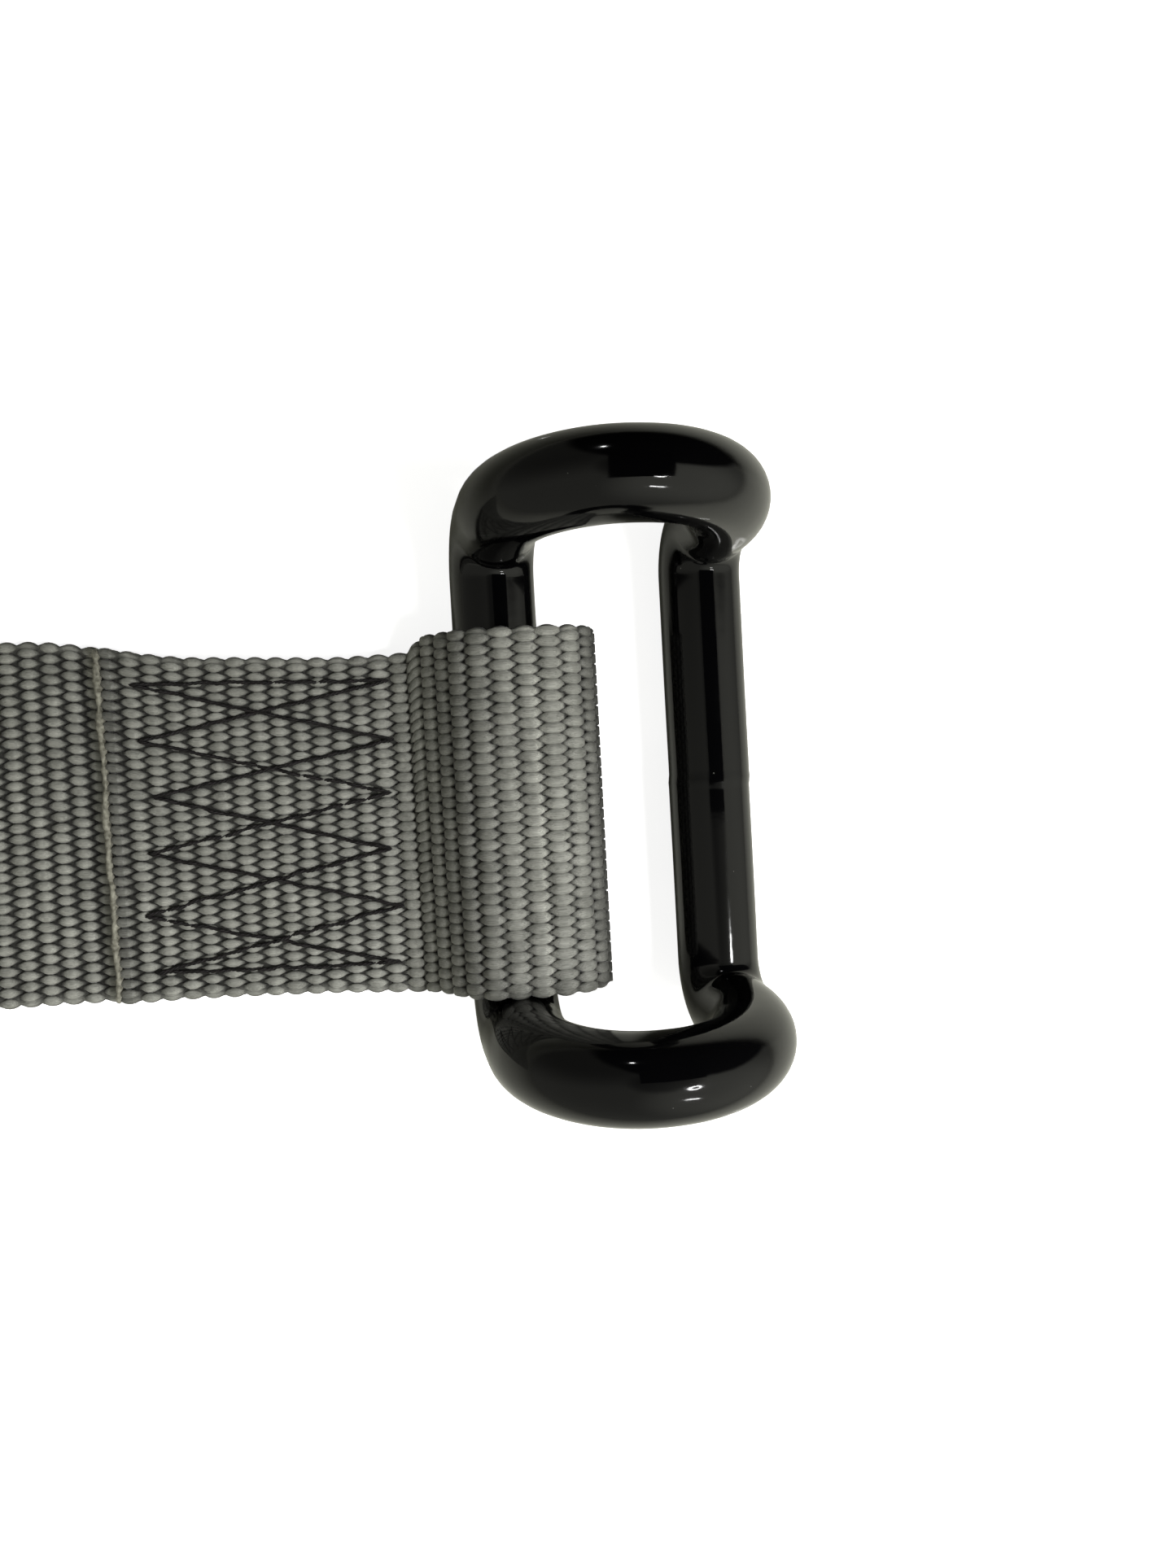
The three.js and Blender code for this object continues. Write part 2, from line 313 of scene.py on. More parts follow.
def seam_distance(x, y):
    """Distance in plan from points to the nearest stretch of the seam."""
    best = np.full(x.shape, np.inf)
    for a, b in zip(seam_corners, np.roll(seam_corners, -1, 0)):
        run = b - a
        t = np.clip(((x - a[0]) * run[0] + (y - a[1]) * run[1]) / (run @ run), 0, 1)
        best = np.minimum(best, np.hypot(x - a[0] - t * run[0], y - a[1] - t * run[1]))
    return best


# %% [markdown]
# ## Weaving the webbing
#
# In this webbing the lengthwise yarns, the warp, cover both faces. Each one passes over one
# crosswise yarn and under the next, and its neighbours do the opposite. That gives the ribs
# across the strap and the leaf-shaped floats: a yarn spreads where it lies on top and has room,
# and is squeezed thin where it dives between its neighbours.
#
# A bump map could fake this, but the loop is seen edge-on and the photograph shows real black
# gaps between the floats. So each warp yarn is a real tube that follows the weave.

# %% Size of the weave
RIB_PITCH = 2.72 * MM
YARNS = 68
SELVEDGE = 0.5 * MM
CLOSE_UP_LENGTH = 166 * MM
FINE_STEP = RIB_PITCH / 6
COARSE_STEP = RIB_PITCH / 3

close_up_start = webbing_length - CLOSE_UP_LENGTH
stations = np.concatenate([
    np.arange(0, close_up_start, COARSE_STEP),
    np.arange(close_up_start, webbing_length, FINE_STEP),
    [webbing_length],
])
yarn_pitch = (WEBBING_WIDTH - 2 * SELVEDGE) / YARNS
print(f"{YARNS} yarns {yarn_pitch / MM:.2f} mm apart, {len(stations)} points along each one")

# %% [markdown]
# Round the bar the webbing is pulled tight, and there the ribs are spread a little. Adding up how
# many ribs pass per millimetre gives a count that any yarn can look up, so all of them agree.

# %% Ribs along the webbing
STRETCH = 0.13
TIGHTENING_LENGTH = 8 * MM
LOOSENING_RANGE = (10 * MM, 19 * MM)
RIB_SAMPLE = 0.1 * MM

nose_start = nose_x - strap_low.x
tail_start = webbing_length - TAIL_END


def in_loop(along):
    """1 where the webbing is pulled tight round the bar, 0 where it lies slack or sewn."""
    tightened = smooth_step(along, nose_start, nose_start + TIGHTENING_LENGTH)
    return tightened * (1 - smooth_step(along - tail_start, *LOOSENING_RANGE))


rib_steps = np.arange(0, webbing_length + 2 * RIB_SAMPLE, RIB_SAMPLE)
rib_rate = 1 / (RIB_PITCH * (1 + STRETCH * in_loop(rib_steps)))
rib_count = np.concatenate([[0], np.cumsum(rib_rate[:-1]) * RIB_SAMPLE])
print(f"{rib_count[-1]:.0f} ribs")


def ribs(along):
    """How many ribs lie between the far end and a place along the webbing."""
    return np.interp(along, rib_steps, rib_count)


# %% [markdown]
# One yarn is a row of floats with dives between them. A sine wave carries its middle up and down
# through the thickness, and the same wave makes it wide at the top and thin in the dive. The
# section is an oval with flattened sides, so that neighbours fill the surface. Small seeded
# offsets take the machine-made look away.

# %% Section of a yarn
FLOAT_HALF_WIDTH = 0.75 * MM
DIVE_HALF_WIDTH = 0.2 * MM
FLOAT_HALF_HEIGHT = 0.44 * MM
DIVE_HALF_HEIGHT = 0.46 * MM
FACE_CLEARANCE = 0.03 * MM
WAVE_HEIGHT = THICKNESS / 2 - FLOAT_HALF_HEIGHT - FACE_CLEARANCE
FLAT_TOP = 0.25
WIDENING = 0.85
LOOP_WIDENING = 0.25
PACKING = 0.2
LOOP_SPREAD = 0.2
YARN_SIDES = 6
SECTION_ROUNDNESS = 0.65
ROUGH_STEPS = 3
PHASE_JITTER = 0.08
SIDE_JITTER = 0.03 * MM
YARN_MARGIN = 0.3 * MM


def yarn_rings(numbers):
    """Flat rings of points of some warp yarns, and how tight the webbing is at each ring."""
    along = np.broadcast_to(stations, (len(numbers), len(stations)))
    knots = len(stations) // ROUGH_STEPS + 2
    unevenness = rng.normal(0, 1, (len(numbers), knots))
    at = np.arange(len(stations)) / ROUGH_STEPS
    rough = np.stack([np.interp(at, np.arange(knots), row) for row in unevenness])
    phase = math.pi * (ribs(along) + numbers[:, None]) + PHASE_JITTER * rough
    tight = in_loop(along)
    wave = np.sin(phase)
    on_top = np.abs(wave)
    centre = WAVE_HEIGHT * wave * (1 + FLAT_TOP - FLAT_TOP * wave**2) * (1 - PACKING * tight * on_top)
    spread = on_top ** (WIDENING - LOOP_WIDENING * tight)
    half_width = DIVE_HALF_WIDTH + (FLOAT_HALF_WIDTH - DIVE_HALF_WIDTH) * spread
    half_width = half_width * (1 + LOOP_SPREAD * tight)
    half_height = DIVE_HALF_HEIGHT + (FLOAT_HALF_HEIGHT - DIVE_HALF_HEIGHT) * on_top
    half_height = half_height * (1 + PACKING * tight)
    middle = (numbers[:, None] + 0.5 - YARNS / 2) * yarn_pitch + SIDE_JITTER * rough
    angle = 2 * math.pi * np.arange(YARN_SIDES) / YARN_SIDES
    section = [np.sign(f(angle)) * np.abs(f(angle)) ** SECTION_ROUNDNESS for f in (np.cos, np.sin)]
    across = middle[..., None] + half_width[..., None] * section[0]
    proud = centre[..., None] + half_height[..., None] * section[1]
    limit = WEBBING_WIDTH / 2 - YARN_MARGIN
    return np.broadcast_to(along[..., None], across.shape), np.clip(across, -limit, limit), proud, tight


# %% [markdown]
# The seam's thread pulls the floats down where it crosses them. The yarns are laid once to find
# how far each point is from the seam, and once more with the pressed points lower.
#
# Each point also keeps its flat place for the materials. Its height there is changed a little,
# because the materials read it as painted light and shade: lower round the thread, higher in the
# loop and the sewn part.

# %% Press and lay the yarns
PRESS_DEPTH = 0.55 * MM
PRESS_REACH = 0.48 * MM
SEWN_BEGIN_RANGE = (-50.5 * MM, -49 * MM)
SEWN_END_RANGE = (-14 * MM, -12 * MM)
OUTER_SIDE_RANGE = (-0.2 * MM, 0.4 * MM)
PRESSED_SHADE = 0.25
LOOP_LIGHT = 0.3
SEWN_LIGHT = 0.22


def yarn_tubes(numbers):
    """Rings of points of some warp yarns, and each point's place on the flat webbing, whose height also
    carries painted light and shade.
    """
    along, across, proud, tight = yarn_rings(numbers)
    laid = lay(along, across, proud)
    x, y = laid[..., 0], laid[..., 1]
    sewn = smooth_step(x, *SEWN_BEGIN_RANGE) * (1 - smooth_step(x, *SEWN_END_RANGE))
    near_seam = np.exp(-((seam_distance(x, y) / PRESS_REACH) ** 2))
    pressed = near_seam * sewn * smooth_step(proud, *OUTER_SIDE_RANGE)
    laid = lay(along, across, proud - PRESS_DEPTH * pressed)
    # Painted light and shade: the kept height is raised in the loop and the sewn part, which paints them
    # lighter, and lowered round the thread, which paints shade there.
    light = 1 + LOOP_LIGHT * tight[..., None] + SEWN_LIGHT * sewn
    painted_light_height = proud * (1 - PRESSED_SHADE * pressed) * light
    return laid, np.stack([along, across, painted_light_height], -1)


GROUPS = 4
warp_pieces = []
for group in range(GROUPS):
    numbers = np.arange(group * YARNS // GROUPS, (group + 1) * YARNS // GROUPS)
    laid, flat = yarn_tubes(numbers)
    faces = tube_faces(len(numbers), len(stations), YARN_SIDES)
    warp_pieces.append(make_piece(f"warp_yarns_{group + 1}", laid, faces, flat))

# %% [markdown]
# ## The weft, inside
#
# The crosswise yarns hardly show. They fill the webbing's middle, and at each edge they turn back
# round the last warp yarn, which gives the small scallops of the selvedge. One thin ribbon stands
# for them: it closes the gaps between the floats, and its edges swell and shrink with the ribs.
#
# It is also the cloth itself.

# %% Weft ribbon
WEFT_HALF_HEIGHT = 0.2 * MM
WEFT_EDGE = 24.05 * MM
EDGE_HALF_HEIGHT = 0.5 * MM
EDGE_REACH = 0.35 * MM
SCALLOP = 0.6 * MM
EDGE_STEPS = 8
EDGE_SWELL = 0.5 * MM
EDGE_OVERLAP = 0.9 * MM
SCALLOP_BLUNTNESS = 0.7

edge_angle = np.linspace(-math.pi / 2, math.pi / 2, EDGE_STEPS + 1)
swell = np.abs(np.sin(math.pi * ribs(stations)))[:, None]
bulge = np.cos(edge_angle)
inner = bulge < 0.01
right = WEFT_EDGE + (EDGE_REACH + SCALLOP * swell**SCALLOP_BLUNTNESS) * bulge - EDGE_OVERLAP * inner
edge_height = EDGE_HALF_HEIGHT + EDGE_SWELL * swell
thick = np.where(inner, WEFT_HALF_HEIGHT, edge_height) * np.sin(edge_angle)
across = np.concatenate([right, -right[:, ::-1]], 1)
proud = np.concatenate([thick, thick[:, ::-1]], 1)
spread = np.broadcast_to(stations[:, None], across.shape)
# Its thin middle keeps small heights, so the webbing's painted shade makes it dark in the gaps between
# floats.
weft = make_piece(
    "weft_ribbon",
    lay(spread, across, proud),
    tube_faces(1, len(stations), across.shape[1]),
    np.stack([spread, across, proud], -1),
)

# %% [markdown]
# ## Melted ends
#
# Polyester webbing is cut with a hot blade, so the yarns don't fray. The heat leaves a narrow,
# lumpy bead across the end, paler than the webbing. Each end gets an oval bar whose section
# grows and shrinks at random.

# %% Sealed ends
BEAD_SIDES = 16
BEAD_STEPS = 260
BEAD_LENGTH = 0.52 * MM
BEAD_HEIGHT = 0.97 * MM
BEAD_MARGIN = 0.25 * MM
BEAD_OFFSET = 0.1 * MM
LARGE_LUMPS = (60, 0.16)
SMALL_LUMPS = (130, 0.1)
LEAN = (14, 0.12 * MM)
RIPPLE = 0.08
HEIGHT_SHARE = 0.25
END_SQUARENESS = 40


def wander(steps, knots, size):
    """Smooth random line with values around zero."""
    at = np.linspace(0, knots - 1, steps)
    values = rng.normal(0, size, knots)
    low = np.floor(at).astype(int).clip(0, knots - 2)
    t = at - low
    t = t * t * (3 - 2 * t)
    return values[low] * (1 - t) + values[low + 1] * t


def sealed_end(name, end, way):
    """Melted bead over a cut end. way is +1 where the webbing stops and -1 where it starts."""
    place = np.linspace(-1, 1, BEAD_STEPS)
    across = place * (WEBBING_WIDTH / 2 - BEAD_MARGIN)
    lump = 1 + wander(BEAD_STEPS, *LARGE_LUMPS) + wander(BEAD_STEPS, *SMALL_LUMPS)
    lean = wander(BEAD_STEPS, *LEAN)
    angle = 2 * math.pi * np.arange(BEAD_SIDES) / BEAD_SIDES
    ripple = 1 + RIPPLE * rng.normal(0, 1, (BEAD_STEPS, BEAD_SIDES))
    out = (BEAD_LENGTH * lump)[:, None] * ripple * np.cos(angle)
    height = BEAD_HEIGHT * (1 + HEIGHT_SHARE * (lump - 1))
    proud = height[:, None] * ripple**0.3 * np.sin(angle)
    taper = np.sqrt(np.clip(1 - place**END_SQUARENESS, 0.05, 1))[:, None]
    along = end + way * (BEAD_OFFSET + lean[:, None] + out * taper)
    spread = np.broadcast_to(across[:, None], along.shape)
    faces = tube_faces(1, BEAD_STEPS, BEAD_SIDES)
    if way < 0:
        faces = faces[:, ::-1]
    return make_piece(name, lay(along, spread, proud * taper), faces, np.stack([along, spread, proud], -1))


tail_seal = sealed_end("tail_seal", webbing_length, 1)

# %% [markdown]
# At one corner the hot blade missed a few filaments of the tail. Each is a hair-thin tube that
# starts in the bead and bends away at random. The far end, cut the same way, comes after them.

# %% Loose filaments
HAIRS = 26
HAIR_STEPS = 7
HAIR_SIDES = 4
HAIR_RADIUS = 0.035 * MM
HAIR_LENGTHS = (0.5 * MM, 1.5 * MM)
HAIR_DROPS = (-1.2, 0.9)
HAIR_LEANS = (-0.6, 0.6)
HAIR_HEIGHTS = (-0.5 * MM, 0.9 * MM)
HAIR_MARGIN = 0.6 * MM
HAIR_CORNER = 9 * MM
HAIR_OFFSET = 0.2 * MM
HAIR_TAPER = 0.6


def loose_filaments(name):
    """Hair-thin filaments that the hot blade missed, at one corner of the tail's end."""
    t = np.linspace(0, 1, HAIR_STEPS)
    angle = 2 * math.pi * np.arange(HAIR_SIDES) / HAIR_SIDES
    thin = HAIR_RADIUS * (1 - HAIR_TAPER * t)[:, None]
    hairs = []
    for _ in range(HAIRS):
        length = rng.uniform(*HAIR_LENGTHS)
        drop = rng.uniform(*HAIR_DROPS)
        root = WEBBING_WIDTH / 2 - HAIR_MARGIN - HAIR_CORNER * rng.uniform(0, 1) ** 2
        along = webbing_length + HAIR_OFFSET + length * t
        across = root + length * rng.uniform(*HAIR_LEANS) * t**2
        proud = rng.uniform(*HAIR_HEIGHTS) + length * drop * t**2
        hairs.append([
            np.broadcast_to(along[:, None], (HAIR_STEPS, HAIR_SIDES)),
            across[:, None] + thin * np.cos(angle),
            proud[:, None] + thin * np.sin(angle),
        ])
    along, across, proud = np.stack(hairs, 1)
    faces = tube_faces(HAIRS, HAIR_STEPS, HAIR_SIDES)
    return make_piece(name, lay(along, across, proud), faces, np.stack([along, across, proud], -1))


filaments = loose_filaments("loose_filaments")
far_seal = sealed_end("far_seal", 0.0, -1)

# %% [markdown]
# ## Sewing thread
#
# The seam is a lockstitch: a needle thread on top and a bobbin thread underneath. The thread is
# three strands twisted together. It lies in the floats, which it squeezes down, and at each
# needle hole it dives towards the middle of the webbing.

# %% Seam threads
PLY_RADIUS = 0.145 * MM
PLY_OFFSET = 0.12 * MM
PLIES = 3
PLY_SIDES = 6
TWIST_PITCH = 2.1 * MM
STITCH = 3.2 * MM
THREAD_STEP = 0.3 * MM
THREAD_WOBBLE = 0.1 * MM
HOLE_DEPTH = 0.22 * MM
HOLE_REACH = 0.5 * MM
RIB_NOD = 0.09 * MM
TOP_REST = high_middle + 0.82 * MM
UNDER_REST = low_middle - 0.68 * MM


def seam_line():
    """Plan points round the seam, and how far each one is from its nearest needle hole."""
    plan, hole = [], []
    for a, b in zip(seam_corners, np.roll(seam_corners, -1, 0)):
        length = np.linalg.norm(b - a)
        stitches = max(1, round(length / STITCH))
        steps = max(4, round(length / THREAD_STEP))
        t = np.arange(steps) / steps
        wobble = THREAD_WOBBLE * np.sin(math.pi * t) ** 0.3 * wander(steps, max(4, steps // 5), 1.0)
        square = np.array([a[1] - b[1], b[0] - a[0]]) / length
        plan.append(a + t[:, None] * (b - a) + wobble[:, None] * square)
        place = t * stitches
        hole.append(np.abs(place - np.round(place)) * length / stitches)
    return np.concatenate(plan), np.concatenate(hole)


def twisted_thread(name, rest, way):
    """Three strands along the seam. way is +1 on top of the webbing and -1 underneath."""
    plan, hole = seam_line()
    dive = HOLE_DEPTH * np.exp(-((hole / HOLE_REACH) ** 2))
    nod = RIB_NOD * np.cos(2 * math.pi * plan[:, 0] / RIB_PITCH)
    line = np.column_stack([plan, rest - way * (dive + nod)])
    ahead = np.roll(line, -1, 0) - np.roll(line, 1, 0)
    ahead /= np.linalg.norm(ahead, axis=1)[:, None]
    side = np.cross(ahead, (0, 0, 1))
    side /= np.linalg.norm(side, axis=1)[:, None]
    over = np.cross(side, ahead)
    run = np.linalg.norm(np.roll(line, -1, 0) - line, axis=1)
    turns = round(run.sum() / TWIST_PITCH)
    twist = 2 * math.pi * turns * np.concatenate([[0], np.cumsum(run)[:-1]]) / run.sum()
    angle = 2 * math.pi * np.arange(PLY_SIDES) / PLY_SIDES
    plies = []
    for ply in range(PLIES):
        turn = twist + 2 * math.pi * ply / PLIES
        middle = line + PLY_OFFSET * (np.cos(turn)[:, None] * side + np.sin(turn)[:, None] * over)
        ring = np.cos(angle)[None, :, None] * side[:, None] + np.sin(angle)[None, :, None] * over[:, None]
        plies.append(middle[:, None] + PLY_RADIUS * ring)
    points = np.stack(plies)
    faces = tube_faces(PLIES, len(line), PLY_SIDES, closed=True)[:, ::-1]
    return make_piece(name, points, faces)


needle_thread = twisted_thread("needle_thread", TOP_REST, 1)
bobbin_thread = twisted_thread("bobbin_thread", UNDER_REST, -1)

# %% [markdown]
# ## The closed hook
#
# The hook is one length of round bar. It was bent into a ring, and both ends of the ring were
# folded up into arches that stand over the legs and lean outwards. The bar's ends meet in a butt
# weld in the middle of the free leg. One smooth sweep with many sides gives the clean gleam that
# runs along the bar, because a mirror-like finish shows every facet.

# %% Hook centre line
LEG_SPACING = 29.6 * MM
LEG_STRAIGHT = 54 * MM
FOLD_RADIUS = 7 * MM
ARCH_HEIGHT = 24 * MM
ARCH_LEAN = math.radians(6.6)
ARCH_BEND = 14.5 * MM
HOOK_SLIDE = 3 * MM
BAR_STEP = 0.6 * MM

arch_rise = math.pi / 2 - ARCH_LEAN
fold_height = FOLD_RADIUS * (1 - math.cos(arch_rise))
arch_wall = (ARCH_HEIGHT - fold_height) / math.sin(arch_rise) - ARCH_BEND
arch_flat = LEG_SPACING - 2 * ARCH_BEND


def straight(start, way, length):
    steps = max(1, round(length / BAR_STEP))
    t = np.arange(steps)[:, None] * length / steps
    return start + t * way, start + length * way


def bend(start, way, towards, radius, angle):
    """Arc from start, heading way, that curls towards a direction square to way."""
    steps = max(4, round(radius * angle / BAR_STEP))
    t = np.arange(steps + 1)[:, None] * angle / steps
    arc = start + radius * (np.sin(t) * way + (1 - np.cos(t)) * towards)
    heading = math.cos(angle) * way + math.sin(angle) * towards
    return arc[:-1], arc[-1], heading


def half_ring(leg, step, side):
    """Middle of one leg to the middle of the other, over the arch at one side."""
    up = np.array([0, 0, 1.0])
    over = np.array([step, 0, 0])
    way = np.array([0, side, 0.0])
    pieces = []
    points, at = straight(np.array([leg, 0, 0.0]), way, LEG_STRAIGHT / 2)
    pieces.append(points)
    points, at, way = bend(at, way, up, FOLD_RADIUS, arch_rise)
    pieces.append(points)
    points, at = straight(at, way, arch_wall)
    pieces.append(points)
    points, at, way = bend(at, way, over, ARCH_BEND, math.pi / 2)
    pieces.append(points)
    points, at = straight(at, way, arch_flat)
    pieces.append(points)
    down = np.array([0, -side * math.cos(arch_rise), -math.sin(arch_rise)])
    points, at, way = bend(at, way, down, ARCH_BEND, math.pi / 2)
    pieces.append(points)
    points, at = straight(at, way, arch_wall)
    pieces.append(points)
    inward = np.array([0, -side * math.sin(arch_rise), math.cos(arch_rise)])
    points, at, way = bend(at, way, inward, FOLD_RADIUS, arch_rise)
    pieces.append(points)
    points, at = straight(at, way, LEG_STRAIGHT / 2)
    pieces.append(points)
    return np.concatenate(pieces)


ring_line = np.concatenate([half_ring(0, 1, 1), half_ring(LEG_SPACING, -1, -1)])
print("bar", round(np.linalg.norm(np.roll(ring_line, -1, 0) - ring_line, axis=1).sum() / MM), "mm")

# %% [markdown]
# To sweep a round section along that line, each point needs two directions square to it. They are
# carried from point to point with the least turning, and the turn that is left over where the
# ring closes is shared out along the whole bar. Then no facet spirals.

# %% Directions along the bar
ahead = np.roll(ring_line, -1, 0) - np.roll(ring_line, 1, 0)
ahead /= np.linalg.norm(ahead, axis=1)[:, None]
normals = np.empty_like(ring_line)
normals[0] = (0, 0, 1)
for i in range(1, len(ring_line)):
    carried = normals[i - 1] - ahead[i] * (normals[i - 1] @ ahead[i])
    normals[i] = carried / np.linalg.norm(carried)
closing = normals[-1] - ahead[0] * (normals[-1] @ ahead[0])
closing /= np.linalg.norm(closing)
gap = math.atan2(np.cross(closing, normals[0]) @ ahead[0], closing @ normals[0])
side_way = np.cross(ahead, normals)
share = gap * np.arange(len(ring_line)) / len(ring_line)
normals = np.cos(share)[:, None] * normals + np.sin(share)[:, None] * side_way
side_way = np.cross(ahead, normals)
print(f"leftover turn {math.degrees(gap):.1f} degrees over {len(ring_line)} points")

# %% [markdown]
# The weld is a thin raised line round the free leg, where the two ends also miss each other by a
# hair. Both are changes to the section near one place, which fade out along the leg. At last the
# hook is tilted and put in the loop, where the measured model has it.

# %% Hook bar
BAR_SIDES = 40
WELD_PLACE = -1.5 * MM
WELD_SHIFT = 0.06 * MM
WELD_BEAD = 0.09 * MM
WELD_REACH = 0.45 * MM
WELD_FADE = 9 * MM
LEG_LEVEL = 1 * MM

on_free_leg = (ring_line[:, 2] < LEG_LEVEL) & (ring_line[:, 0] > LEG_SPACING / 2)
from_weld = np.where(on_free_leg, ring_line[:, 1] - WELD_PLACE, 1.0)
swollen = BAR_RADIUS + WELD_BEAD * np.exp(-((from_weld / WELD_REACH) ** 2))
shifted = np.where(on_free_leg, WELD_SHIFT * np.tanh(from_weld / WELD_REACH), 0)
fade = np.exp(-((from_weld / WELD_FADE) ** 2))
angle = 2 * math.pi * np.arange(BAR_SIDES) / BAR_SIDES
cosine, sine = np.cos(angle)[:, None], np.sin(angle)[:, None]
ring = cosine * normals[:, None] - sine * side_way[:, None]
bar = ring_line[:, None] + swollen[:, None, None] * ring
bar[..., 0] += (shifted * fade)[:, None]

hook_tilt = math.asin((BAR_HEIGHT - BAR_RADIUS) / LEG_SPACING)
place_hook = Matrix.Translation((0, HOOK_SLIDE, BAR_HEIGHT)) @ Matrix.Rotation(hook_tilt, 4, "Y")
bar = bar.reshape(-1, 3) @ np.array(place_hook.to_3x3()).T + np.array(place_hook.translation)
bar_faces = tube_faces(1, len(ring_line), BAR_SIDES, closed=True)
hook = make_piece("hook_bar", bar, bar_faces)
print("hook box", (bar.min(0) / MM).round(1), (bar.max(0) / MM).round(1), "CAD", hook_low, hook_high)

# %% [markdown]
# ## Shared effects
#
# Three effects are node groups, so that more than one finish can use them: fine filament streaks
# that run along a yarn, a slow drift between two tones, and specks of dust. A group only gives
# out a mask or a colour, and each material decides what to do with it.

# %% Node group helpers
def new_group(name, inputs, outputs):
    """Empty shader node group. inputs and outputs are (name, socket type, default)."""
    group = bpy.data.node_groups.new(name, "ShaderNodeTree")
    for way, sockets in (("INPUT", inputs), ("OUTPUT", outputs)):
        for title, kind, default in sockets:
            socket = group.interface.new_socket(title, in_out=way, socket_type=kind)
            if default is not None:
                socket.default_value = default
    return group, group.nodes.new("NodeGroupInput"), group.nodes.new("NodeGroupOutput")


def add(tree, kind, **values):
    """New node. A value named after an input sets that input, and any other sets the node."""
    node = tree.nodes.new(kind)
    for title, value in values.items():
        if hasattr(node, title):
            setattr(node, title, value)
        else:
            node.inputs[title.replace("_", " ")].default_value = value
    return node


def math_node(tree, operation, first, second=None, third=None, clamp=False):
    """Math node fed by sockets or numbers. Returns its output socket."""
    node = add(tree, "ShaderNodeMath", operation=operation, use_clamp=clamp)
    for slot, value in enumerate((first, second, third)):
        if isinstance(value, bpy.types.NodeSocket):
            tree.links.new(value, node.inputs[slot])
        elif value is not None:
            node.inputs[slot].default_value = value
    return node.outputs[0]


# %% [markdown]
# Filaments run along a yarn, so their streaks are long one way and fine the other way. Noise whose
# coordinates are stretched by two different amounts does that.

# %% Filament streaks
streaks, given, result = new_group(
    "filament streaks",
    [
        ("Place", "NodeSocketVector", None),
        ("Along", "NodeSocketFloat", 150.0),
        ("Across", "NodeSocketFloat", 9000.0),
    ],
    [("Height", "NodeSocketFloat", None)],
)
spreading = add(streaks, "ShaderNodeCombineXYZ")
streaks.links.new(given.outputs["Along"], spreading.inputs["X"])
streaks.links.new(given.outputs["Across"], spreading.inputs["Y"])
streaks.links.new(given.outputs["Across"], spreading.inputs["Z"])
stretched = add(streaks, "ShaderNodeVectorMath", operation="MULTIPLY")
streaks.links.new(given.outputs["Place"], stretched.inputs[0])
streaks.links.new(spreading.outputs[0], stretched.inputs[1])
fine = add(streaks, "ShaderNodeTexNoise", Scale=1.0, Detail=2.0, Roughness=0.6)
streaks.links.new(stretched.outputs[0], fine.inputs["Vector"])
streaks.links.new(fine.outputs["Fac"], result.inputs["Height"])

# %% [markdown]
# No dyed yarn has quite one colour. Slow noise, with its contrast raised, moves between a dark and
# a light tone that each material gives.

# %% Tone drift
drift, given, result = new_group(
    "tone drift",
    [
        ("Place", "NodeSocketVector", None),
        ("Scale", "NodeSocketFloat", 60.0),
        ("Dark", "NodeSocketColor", (0.1, 0.1, 0.1, 1)),
        ("Light", "NodeSocketColor", (0.3, 0.3, 0.3, 1)),
    ],
    [("Tone", "NodeSocketColor", None)],
)
patches = add(drift, "ShaderNodeTexNoise", Detail=3.0, Roughness=0.55)
drift.links.new(given.outputs["Place"], patches.inputs["Vector"])
drift.links.new(given.outputs["Scale"], patches.inputs["Scale"])
widen = add(drift, "ShaderNodeMapRange", From_Min=0.3, From_Max=0.7)
drift.links.new(patches.outputs["Fac"], widen.inputs["Value"])
blend = add(drift, "ShaderNodeMix", data_type="RGBA")
drift.links.new(widen.outputs[0], blend.inputs[0])
drift.links.new(given.outputs["Dark"], blend.inputs[6])
drift.links.new(given.outputs["Light"], blend.inputs[7])
drift.links.new(blend.outputs[2], result.inputs["Tone"])

# %% [markdown]
# Dust lies as small separate specks. A Voronoi texture has one point in each cell, and a circle
# round that point, with a size taken from the cell's own random colour, is one speck.

# %% Dust specks
dust, given, result = new_group(
    "dust specks",
    [
        ("Place", "NodeSocketVector", None),
        ("Scale", "NodeSocketFloat", 700.0),
        ("Size", "NodeSocketFloat", 0.12),
    ],
    [("Mask", "NodeSocketFloat", None)],
)
cells = add(dust, "ShaderNodeTexVoronoi", Randomness=1.0)
dust.links.new(given.outputs["Place"], cells.inputs["Vector"])
dust.links.new(given.outputs["Scale"], cells.inputs["Scale"])
chance = add(dust, "ShaderNodeSeparateColor")
dust.links.new(cells.outputs["Color"], chance.inputs[0])
size = math_node(dust, "MULTIPLY", given.outputs["Size"], chance.outputs[0])
inside = math_node(dust, "SUBTRACT", size, cells.outputs["Distance"])
mask = math_node(dust, "MULTIPLY", inside, 40.0, clamp=True)
dust.links.new(mask, result.inputs["Mask"])


# %% [markdown]
# ## Grey webbing
#
# Polyester yarn is matt from afar, but each filament has a faint gloss along its length. The
# colour is a warm mid grey. Deep between the floats the colour falls away with depth, as
# painted shade where less light gets in. The streaks run along each yarn because they use the
# flat webbing's own coordinates, which follow the fold.

# %% Webbing colour
STREAK_TONES = (0.62, 1.3)
LIGHT_DEPTHS = (0.2 * MM, 1.0 * MM)
DEEPEST_TONE = 0.1


def new_material(name):
    """Material with a Principled shader. Returns the material, its tree and the shader."""
    material = bpy.data.materials.new(name)
    material.use_nodes = True
    return material, material.node_tree, material.node_tree.nodes["Principled BSDF"]


def place_group(tree, group, **values):
    node = tree.nodes.new("ShaderNodeGroup")
    node.node_tree = group
    for title, value in values.items():
        if isinstance(value, bpy.types.NodeSocket):
            tree.links.new(value, node.inputs[title])
        else:
            node.inputs[title].default_value = value
    return node


